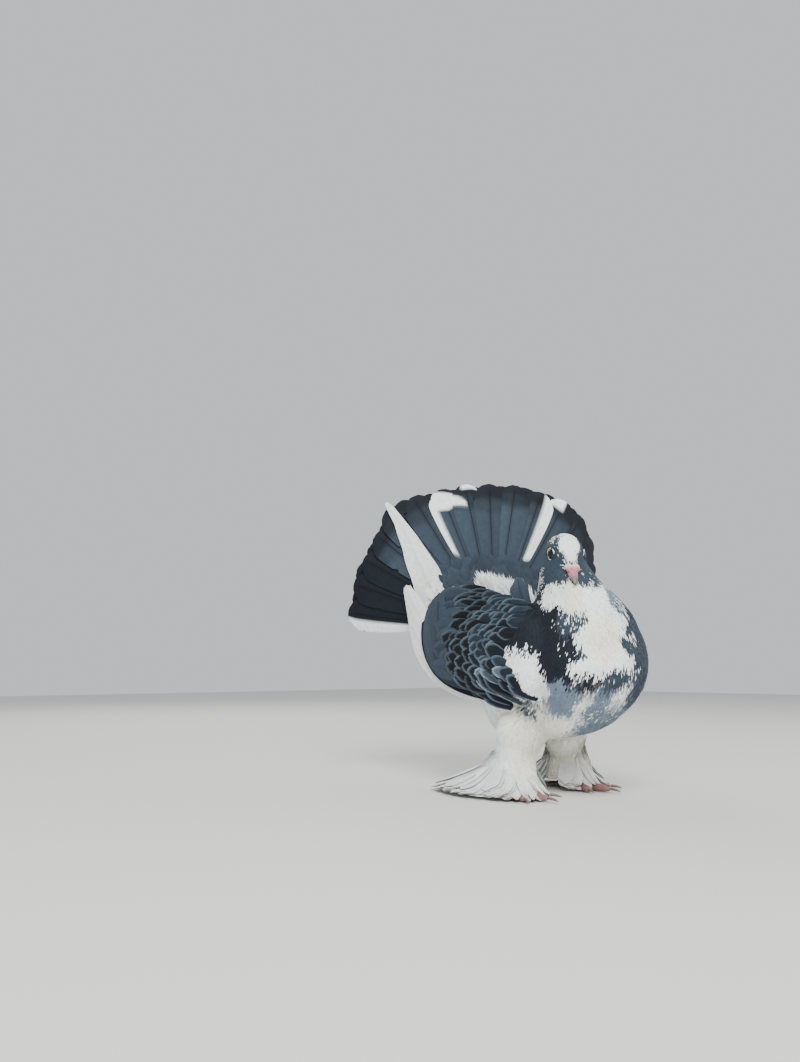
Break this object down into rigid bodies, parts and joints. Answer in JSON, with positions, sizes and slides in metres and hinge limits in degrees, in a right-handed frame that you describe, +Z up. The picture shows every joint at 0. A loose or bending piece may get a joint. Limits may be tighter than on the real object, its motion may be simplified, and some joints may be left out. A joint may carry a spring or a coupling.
{
  "type": "fantail pigeon",
  "caption": "Life-size fantail pigeon standing still, tail fan raised and spread, wings folded, head turned to its right, long feathers on its feet.",
  "frame": {"origin": "on the floor, below the middle of the bounding box", "axes": "+Z up; the body faces -Y; the bird's own left side is +X"},
  "size_m": [0.2212, 0.2746, 0.2828],
  "materials": {
    "body_feathers": "soft",
    "flight_feathers": "satin",
    "white_feathers": "soft",
    "bare_skin": "matte",
    "horn": "satin",
    "eye": "polished"
  },
  "bodies": {
    "root": {"torso": "body_feathers", "neck": "body_feathers", "head": "body_feathers", "eye_right": "eye", "eye_left": "eye", "bill_upper": "bare_skin", "bill_lower": "bare_skin", "tail_fan_left": "flight_feathers", "tail_fan_centre": "flight_feathers", "tail_fan_right": "flight_feathers", "tail_coverts": "flight_feathers", "undertail": "white_feathers", "wing_right": "flight_feathers", "leg_right": "white_feathers", "foot_right": "bare_skin", "claw_right_1": "horn", "claw_right_2": "horn", "claw_right_3": "horn", "claw_right_4": "horn", "muff_right": "white_feathers", "wing_left": "flight_feathers", "leg_left": "white_feathers", "foot_left": "bare_skin", "claw_left_1": "horn", "claw_left_2": "horn", "claw_left_3": "horn", "claw_left_4": "horn", "muff_left": "white_feathers"}
  },
  "joints": []
}
